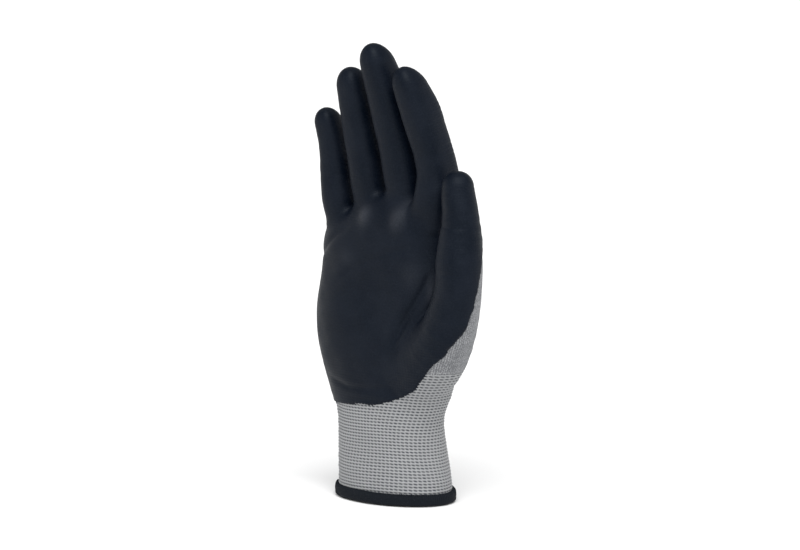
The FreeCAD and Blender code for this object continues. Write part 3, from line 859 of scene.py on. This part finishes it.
def wall(share, z, rows):
    """Points on the glove's outside in level rings, with their normals."""
    points, _ = settle(ring_points(share, z), 10, 1.5, True)
    return settle(even_rings(points, rows), 4, 0.5, True)


def knit_place(share, z):
    """Wale and course of the cuff's knit, which drifts a little sideways."""
    drift = 0.55 * np.sin(z / 11.0) + 0.35 * np.sin(z / 6.0 + 4 * math.pi * share)
    sag = 0.35 * np.sin(2 * math.pi * share + 0.7) + 0.15 * np.sin(6 * math.pi * share)
    return share * CUFF_WALES + drift, z / CUFF_COURSE + sag


def cuff_stitch(u, v):
    """Relief of the cuff's knit: slanted light loops with dark gaps below."""
    s = u % 1.0
    t = (v + CUFF_SLANT * (s - 0.5)) % 1.0
    ridge = 0.5 + 0.5 * np.cos(2 * math.pi * t)
    window = np.sin(math.pi * s) ** 0.6
    return 0.34 * ridge * (0.45 + 0.55 * window) - 0.22 * window * (1 - ridge) ** 1.5


def ring_grid(heights, columns):
    """Height and share of the way round at each point of a stack of rings."""
    grid = np.meshgrid(heights, np.arange(columns) / columns, indexing="ij")
    return [values.ravel() for values in grid]


def ring_faces(us, vs, wales, rows, columns, turned=False):
    """Quads between rings and their corners' wale and course, which go on past
    the seam; turned ones face the other way."""
    j, i = np.meshgrid(np.arange(rows - 1), np.arange(columns), indexing="ij")
    following = (i + 1) % columns
    faces = np.stack((j * columns + i, j * columns + following,
                      (j + 1) * columns + following, (j + 1) * columns + i), -1).reshape(-1, 4)
    u, v = us[faces], vs[faces]
    last = np.arange(len(faces)) % columns == columns - 1
    u[last, 1:3] += wales
    uv = np.stack((u, v), -1)
    if turned:
        faces, uv = faces[:, ::-1], uv[:, ::-1]
    return faces, uv.reshape(-1, 2)


def cuff_outside():
    """The cuff's stitched outer wall."""
    across, along = ((6, 5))
    columns = CUFF_WALES * across
    rows = int((CUFF_TOP - CUFF_LOW) / CUFF_COURSE) * along
    z, share = ring_grid(np.linspace(CUFF_LOW, CUFF_TOP, rows), columns)
    points, normals = wall(share, z, rows)
    u, v = knit_place(share, points[:, 2])
    height = relief(Skin(points, normals)) + cuff_stitch(u, v) - 0.15
    height -= 0.25 * smooth((z - CUFF_TOP + 2.5) / 2.5)
    return points + normals * height[:, None], *ring_faces(u, v, CUFF_WALES, rows, columns)


def cuff_inside():
    """The cuff's plainer inner wall, which closes on the outer one at the top."""
    columns, rows, top = CUFF_WALES * 2, 30, CUFF_TOP - 1.0
    z, share = ring_grid(np.linspace(CUFF_LOW, top, rows), columns)
    points, normals = wall(share, z, rows)
    depth = 1.25 * smooth((top - z) / 8.0) + 0.45
    u, v = knit_place(share, z)
    return points - normals * depth[:, None], *ring_faces(u, v, CUFF_WALES, rows, columns, True)


def add_cuff():
    """Ribbed cuff of two walls in one piece."""
    outer, outer_faces, outer_uv = cuff_outside()
    inner, inner_faces, inner_uv = cuff_inside()
    points = np.concatenate((outer, inner))
    faces = np.concatenate((outer_faces, inner_faces + len(outer)))
    obj = make_object("cuff_knit_skin", points, faces, MATERIALS["cuff"],
                      vertex_normals(points, faces), np.concatenate((outer_uv, inner_uv)), {})
    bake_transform(obj)
    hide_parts("cuff_knit")


def add_hem():
    """Overlocked edge: thread laid side by side round the cuff's end."""
    columns = HEM_LOOPS * 7
    profile = 30
    turn, share = ring_grid(np.arange(profile + 1) * 2 * math.pi / profile, columns)
    around = ring_points(share, np.full(len(share), CUFF_LOW))
    cx, cy, a, b = PALM[1, 1:]
    angle = np.arctan2((around[:, 0] - cx) / a, (cy - around[:, 1]) / b)
    radial = unit(np.stack((np.sin(angle) * b, -np.cos(angle) * a), 1))
    c, s = np.cos(turn), np.sin(turn)
    out = 1.75 * np.sign(c) * np.abs(c) ** 0.8
    up = 3.1 * np.sign(s) * np.abs(s) ** 0.62
    loop = share * HEM_LOOPS
    slant = loop + 0.35 * up / 3.0
    thread = np.abs(np.sin(math.pi * slant)) ** 0.7
    face = np.clip(c, 0, 1)
    out += 0.2 * (thread - 0.6) * (0.35 + 0.65 * face)
    out += 0.16 * groove(up + 2.2, 0.6) * face - 0.12 * groove(up + 1.4, 0.35) * face
    # The threads end unevenly along the upper edge.
    teeth = smooth((up - 1.2) / 1.6) * face ** 0.3
    rng = np.random.default_rng(11)
    uneven = rng.uniform(-0.25, 0.35, HEM_LOOPS)
    up += teeth * (0.75 * (thread - 0.45) + uneven[np.floor(loop % HEM_LOOPS).astype(int)])
    wave = 0.25 * np.sin(4 * math.pi * share + 1.0) + 0.12 * np.sin(10 * math.pi * share)
    flat = around[:, :2] + radial * (out + 0.55)[:, None]
    points = np.column_stack((flat, HEM_MIDDLE + up + wave * 0.6))
    faces, uv = ring_faces(slant, turn * 2.0, HEM_LOOPS, profile + 1, columns, True)
    obj = make_object("hem_thread_band", points, faces, MATERIALS["hem"], None, uv, {})
    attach(obj, "cuff")
    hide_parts("hem_overlock")


def add_elastic():
    """Covered elastic yarns that show on the inside of the cuff."""
    columns, profile = 360, 10
    turn, share = ring_grid(np.arange(profile + 1) * 2 * math.pi / profile, columns)
    wind = 1.0 + 0.14 * np.sin(2 * math.pi * (share * ELASTIC_WINDS + turn / 6.283))
    one_faces, one_uv = ring_faces(share * ELASTIC_WINDS, turn / 6.283, ELASTIC_WINDS,
                                   profile + 1, columns, True)
    points, faces = [], []
    for number in range(ELASTIC_RINGS):
        height = ELASTIC_LOW + ELASTIC_PITCH * number
        z = height + ELASTIC_RADIUS * wind * np.sin(turn) + 0.1 * np.sin(2 * math.pi * 36 * share)
        ring = ring_points(share, z, 1.85)
        away = unit(ring[:, :2] - np.stack(palm_section(z)[:2], 1))
        ring[:, :2] += away * (0.4 * wind * np.cos(turn))[:, None]
        points.append(ring)
        faces.append(one_faces + number * len(ring))
    obj = make_object("elastic_yarn_rings", np.concatenate(points), np.concatenate(faces),
                      MATERIALS["elastic"], None, np.tile(one_uv, (ELASTIC_RINGS, 1)), {})
    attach(obj, "cuff")
    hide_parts("cuff_elastic")


# --- Materials ---


class Tree:
    """Short names for the few shader nodes that the materials use. Values are
    numbers, colours or other nodes' outputs."""

    def __init__(self, name):
        self.material = bpy.data.materials.new(name)
        self.material.use_nodes = True
        self.nodes = self.material.node_tree.nodes
        self.links = self.material.node_tree.links
        self.shader = self.nodes["Principled BSDF"]

    def put(self, socket, value):
        if isinstance(value, bpy.types.NodeSocket):
            self.links.new(value, socket)
        else:
            socket.default_value = value

    def node(self, kind, *values, **named):
        """New node with its first inputs filled, and others by their names."""
        node = self.nodes.new("ShaderNode" + kind)
        for socket, value in zip(node.inputs, values):
            self.put(socket, value)
        for name, value in named.items():
            self.put(node.inputs[name], value)
        return node

    def math(self, operation, *values):
        node = self.node("Math", *values)
        node.operation = operation
        return node.outputs[0]

    def add(self, a, b):
        return self.math("ADD", a, b)

    def minus(self, a, b):
        return self.math("SUBTRACT", a, b)

    def times(self, a, b):
        return self.math("MULTIPLY", a, b)

    def apart(self, a, b):
        return self.math("ABSOLUTE", self.minus(a, b))

    def fract(self, a):
        return self.math("FRACT", a)

    def sine(self, a):
        return self.math("SINE", a)

    def ramp(self, value, low, high, to_low=0.0, to_high=1.0):
        node = self.node("MapRange", value, low, high, to_low, to_high)
        node.interpolation_type = "SMOOTHSTEP"
        return node.outputs[0]

    def mix(self, share, a, b):
        node = self.node("Mix")
        node.data_type = "RGBA"
        for number, value in ((0, share), (6, a), (7, b)):
            self.put(node.inputs[number], value)
        return node.outputs[2]

    def attribute(self, name, output="Fac"):
        node = self.node("Attribute")
        node.attribute_name = name
        return node.outputs[output]

    def knit(self):
        """Wale and course."""
        node = self.node("UVMap")
        node.uv_map = "knit"
        return self.node("SeparateXYZ", node.outputs[0]).outputs[:2]

    def combine(self, x, y):
        return self.node("CombineXYZ", x, y).outputs[0]

    def noise(self, vector, scale, detail=2.0, rough=0.5):
        node = self.node("TexNoise", Vector=vector, Scale=scale, Detail=detail, Roughness=rough)
        return node.outputs["Fac"]

    def each_stitch(self, u, v):
        """One random value for each stitch."""
        node = self.node("TexWhiteNoise")
        node.noise_dimensions = "2D"
        self.put(node.inputs["Vector"], self.combine(self.math("FLOOR", u), self.math("FLOOR", v)))
        return node.outputs["Value"]

    def bump(self, height, depth, strength, below=None):
        """Normal for a height, at a depth in millimetres, over the one below."""
        node = self.node("Bump", Height=height, Distance=depth * MM, Strength=strength)
        if below is not None:
            self.put(node.inputs["Normal"], below)
        return node.outputs[0]

    def finish(self, colour, rough, normal, specular, sheen):
        values = {"Base Color": colour, "Roughness": rough, "Normal": normal,
                  "Specular IOR Level": specular, "Specular Tint": (0.86, 0.93, 1.0, 1.0),
                  "Sheen Weight": sheen, "Sheen Roughness": 0.6}
        for name, value in values.items():
            self.put(self.shader.inputs[name], value)
        return self.material


def jersey(tree, u, v):
    """Height of plain knitting: two leaning legs to each stitch."""
    off = tree.apart(tree.fract(u), 0.5)
    t = tree.fract(tree.add(v, tree.times(off, 1.3)))
    leg = tree.minus(off, 0.25)
    across = tree.minus(1.0, tree.times(tree.times(leg, leg), 15.0))
    along = tree.sine(tree.times(t, math.pi))
    return tree.times(across, tree.add(0.35, tree.times(along, 0.65)))


def coating_material():
    """Matte foamed nitrile with the knit just showing through, and painted highlights on the palm's pads."""
    tree = Tree("coating_foam")
    rest = tree.attribute("rest", "Vector")
    u, v = tree.knit()
    blotch = tree.noise(rest, 0.07, 3.0)
    fine = tree.noise(rest, 1.5, 3.0, 0.6)
    pores = tree.ramp(tree.node("TexVoronoi", Vector=rest, Scale=1.7).outputs["Distance"], 0.0, 0.32)
    deep, plain = (0.0004, 0.0022, 0.0066, 1), (0.0032, 0.0054, 0.0108, 1)
    # The second of these tones is a painted highlight, laid on the palm's pads below in place of their sheen.
    dusty, sheen_tone = (0.012, 0.0165, 0.025, 1), (0.030, 0.033, 0.041, 1)
    colour = tree.mix(tree.ramp(blotch, 0.35, 0.7), deep, plain)
    colour = tree.mix(tree.times(tree.ramp(fine, 0.4, 0.75), 0.3), colour, dusty)
    # Painted highlight on the pads, broken up by the fine noise.
    wear = tree.times(tree.attribute("wear"), tree.ramp(fine, 0.2, 0.8, 0.7, 1.3))
    colour = tree.mix(wear, colour, sheen_tone)
    rough = tree.ramp(tree.add(blotch, tree.times(fine, 0.4)), 0.4, 1.0, 0.44, 0.60)
    ribs = tree.sine(tree.times(v, 2 * math.pi))
    near_edge = tree.ramp(tree.attribute("edge"), 2.0, 34.0, 1.0, 0.3)
    knit = tree.times(tree.add(jersey(tree, u, v), tree.times(ribs, 0.5)), near_edge)
    normal = tree.bump(knit, 0.07, 0.55)
    normal = tree.bump(pores, 0.06, 0.45, normal)
    normal = tree.bump(fine, 0.12, 0.5, normal)
    return tree.finish(colour, rough, normal, 0.13, 0.0)


def liner_material():
    """Fine jersey of salt-and-pepper yarn, plain where it would be stretched, with painted shade in the
    knit's low parts.
    """
    tree = Tree("liner_jersey")
    rest = tree.attribute("rest", "Vector")
    u, v = tree.knit()
    fair = tree.attribute("fair")
    height = tree.add(tree.times(jersey(tree, u, v), fair), tree.times(tree.minus(1.0, fair), 0.55))
    fleck = tree.noise(rest, 1.25, 2.0, 0.75)
    cloud = tree.noise(rest, 0.16, 2.0, 0.6)
    yarn_tone = tree.add(tree.times(tree.times(tree.each_stitch(u, v), fair), 0.12), tree.times(fleck, 0.9))
    yarn_tone = tree.add(yarn_tone, tree.times(tree.minus(cloud, 0.5), 0.25))
    pepper, salt, gap_shade = (0.095, 0.10, 0.11, 1), (0.31, 0.315, 0.325, 1), (0.080, 0.083, 0.090, 1)
    colour = tree.mix(tree.ramp(yarn_tone, 0.3, 0.72), pepper, salt)
    # Painted shade: the knit's low parts between the stitch legs are darkened by their height.
    colour = tree.mix(tree.ramp(height, 0.0, 0.6), gap_shade, colour)
    normal = tree.bump(height, 0.4, 0.8)
    normal = tree.bump(fleck, 0.12, 0.5, normal)
    return tree.finish(colour, 0.85, normal, 0.2, 0.15)


def cuff_material():
    """Light knit with a dark dash below every loop, and painted highlight and shade across each loop."""
    tree = Tree("cuff_rib_knit")
    rest = tree.attribute("rest", "Vector")
    u, v = tree.knit()
    s = tree.fract(u)
    t = tree.fract(tree.add(v, tree.times(tree.minus(s, 0.5), CUFF_SLANT)))
    off_row, off_wale = tree.apart(t, 0.5), tree.apart(s, 0.5)
    stitch = tree.each_stitch(u, v)
    fibre = tree.noise(tree.combine(tree.times(u, 2.2), tree.times(v, 7.0)), 1.0, 3.0, 0.7)
    patch = tree.noise(rest, 0.06, 2.0)
    reach = tree.add(0.20, tree.times(tree.minus(fibre, 0.5), 0.2))
    row = tree.ramp(tree.minus(off_row, reach), -0.09, 0.07, 1.0, 0.0)
    wale = tree.ramp(off_wale, 0.24, 0.38, 1.0, 0.0)
    depth = tree.add(0.72, tree.times(stitch, 0.28))
    dash = tree.times(tree.times(row, wale), depth)
    # Painted highlight and shade: each loop is coloured lighter at its middle and darker towards its edges,
    # from the shadow tone to the light one.
    loop = tree.times(tree.ramp(off_row, 0.1, 0.47, 0.35, 1.0), tree.ramp(off_wale, 0.0, 0.5, 0.75, 1.0))
    loop = tree.add(tree.times(loop, 0.6), tree.times(fibre, 0.5))
    shadow, loop_highlight, soiled = (0.105, 0.108, 0.112, 1), (0.385, 0.39, 0.395, 1), (0.20, 0.205, 0.215, 1)
    black, faded = (0.010, 0.013, 0.019, 1), (0.032, 0.036, 0.045, 1)
    light = tree.mix(loop, shadow, loop_highlight)
    light = tree.mix(tree.times(patch, 0.4), light, soiled)
    colour = tree.mix(dash, light, tree.mix(stitch, black, faded))
    return tree.finish(colour, 0.82, tree.bump(fibre, 0.22, 0.7), 0.22, 0.15)


def hem_material():
    """Black thread laid close."""
    tree = Tree("hem_overlock_thread")
    u, v = tree.knit()
    ply = tree.sine(tree.times(tree.add(u, v), 12.0))
    fuzz = tree.noise(tree.combine(tree.times(u, 3.0), tree.times(v, 2.0)), 1.0, 3.0, 0.7)
    colour = tree.mix(fuzz, (0.0015, 0.0022, 0.0042, 1), (0.0065, 0.0085, 0.0125, 1))
    normal = tree.bump(ply, 0.08, 0.5)
    normal = tree.bump(fuzz, 0.15, 0.5, normal)
    return tree.finish(colour, 0.7, normal, 0.15, 0.0)


def elastic_material():
    """Off-white covered elastic."""
    tree = Tree("elastic_covered_yarn")
    u, v = tree.knit()
    wind = tree.sine(tree.times(tree.add(u, v), 2 * math.pi))
    fuzz = tree.noise(tree.combine(u, tree.times(v, 4.0)), 1.5, 2.0, 0.6)
    core, cover, dull = (0.30, 0.30, 0.29, 1), (0.62, 0.62, 0.60, 1), (0.40, 0.40, 0.39, 1)
    colour = tree.mix(tree.ramp(wind, -1.0, 0.4), core, cover)
    colour = tree.mix(tree.times(fuzz, 0.3), colour, dull)
    return tree.finish(colour, 0.75, tree.bump(wind, 0.1, 0.6), 0.25, 0.1)


# --- Stage ---

# The sky's light falls off between two heights of the view direction.
SKY_HEIGHTS = 0.16, 0.6
SKY_LIGHTS = 1.0, 0.45
FLOOR_SIZE = 30.0
FLOOR_LEVEL = -0.0006
# Where the camera looks from, in degrees and metres, how wide it sees there,
# and how far right and up of the origin it aims.
AZIMUTH, ELEVATION = 40.0, 9.0
DISTANCE = 3.5
VIEW_WIDTH = 0.4328
AIM = 0.0022, 0.1196
SENSOR_MM = 36.0
SUN_STRENGTH = 3.1
SUN_SPREAD = 50.0


def view_axes():
    """Directions right of the view, up in it and back to the camera."""
    azimuth, elevation = math.radians(AZIMUTH), math.radians(ELEVATION)
    right = Vector((math.cos(azimuth), math.sin(azimuth), 0))
    back = Vector((math.sin(azimuth) * math.cos(elevation), -math.cos(azimuth) * math.cos(elevation),
                   math.sin(elevation)))
    return right, back.cross(right), back


def set_world():
    world = bpy.data.worlds.new("studio")
    bpy.context.scene.world = world
    world.use_nodes = True
    tree = world.node_tree
    place = tree.nodes.new("ShaderNodeTexCoord")
    parts = tree.nodes.new("ShaderNodeSeparateXYZ")
    fade = tree.nodes.new("ShaderNodeMapRange")
    fade.interpolation_type = "SMOOTHSTEP"
    for socket, value in zip(list(fade.inputs)[1:], SKY_HEIGHTS + SKY_LIGHTS):
        socket.default_value = value
    tree.links.new(place.outputs["Generated"], parts.inputs[0])
    tree.links.new(parts.outputs[2], fade.inputs[0])
    tree.links.new(fade.outputs[0], tree.nodes["Background"].inputs[0])


def add_floor():
    mesh = bpy.data.meshes.new("floor")
    corners = [(x * FLOOR_SIZE, y * FLOOR_SIZE, FLOOR_LEVEL) for x, y in ((-1, -1), (1, -1), (1, 1), (-1, 1))]
    mesh.from_pydata(corners, [], [(0, 1, 2, 3)])
    material = bpy.data.materials.new("floor_white")
    material.use_nodes = True
    shader = material.node_tree.nodes["Principled BSDF"]
    shader.inputs["Base Color"].default_value = (0.93, 0.93, 0.93, 1)
    shader.inputs["Roughness"].default_value = 0.9
    shader.inputs["Specular IOR Level"].default_value = 0.1
    mesh.materials.append(material)
    add_object("floor", mesh)


def add_camera():
    right, up, back = view_axes()
    camera = bpy.data.cameras.new("camera")
    camera.sensor_width = SENSOR_MM
    camera.lens = SENSOR_MM * DISTANCE / VIEW_WIDTH
    camera.clip_end = 200.0
    obj = add_object("camera", camera)
    place = right * AIM[0] + up * AIM[1] + back * DISTANCE
    obj.matrix_world = Matrix.Translation(place) @ Matrix((right, up, back)).transposed().to_4x4()
    bpy.context.scene.camera = obj


def add_sun():
    """Very soft light from high behind the camera."""
    right, up, back = view_axes()
    sun = bpy.data.lights.new("key", "SUN")
    sun.energy = SUN_STRENGTH
    sun.angle = math.radians(SUN_SPREAD)
    way = back + up * 0.95 + right * 0.05
    add_object("key", sun).rotation_euler = way.to_track_quat("Z", "Y").to_euler()


bpy.context.scene.view_settings.view_transform = "Standard"
MATERIALS = {"coat": coating_material(), "liner": liner_material(), "cuff": cuff_material(),
             "hem": hem_material(), "elastic": elastic_material()}
set_world()
add_floor()
add_camera()
add_sun()
add_skin()
add_cuff()
add_hem()
add_elastic()
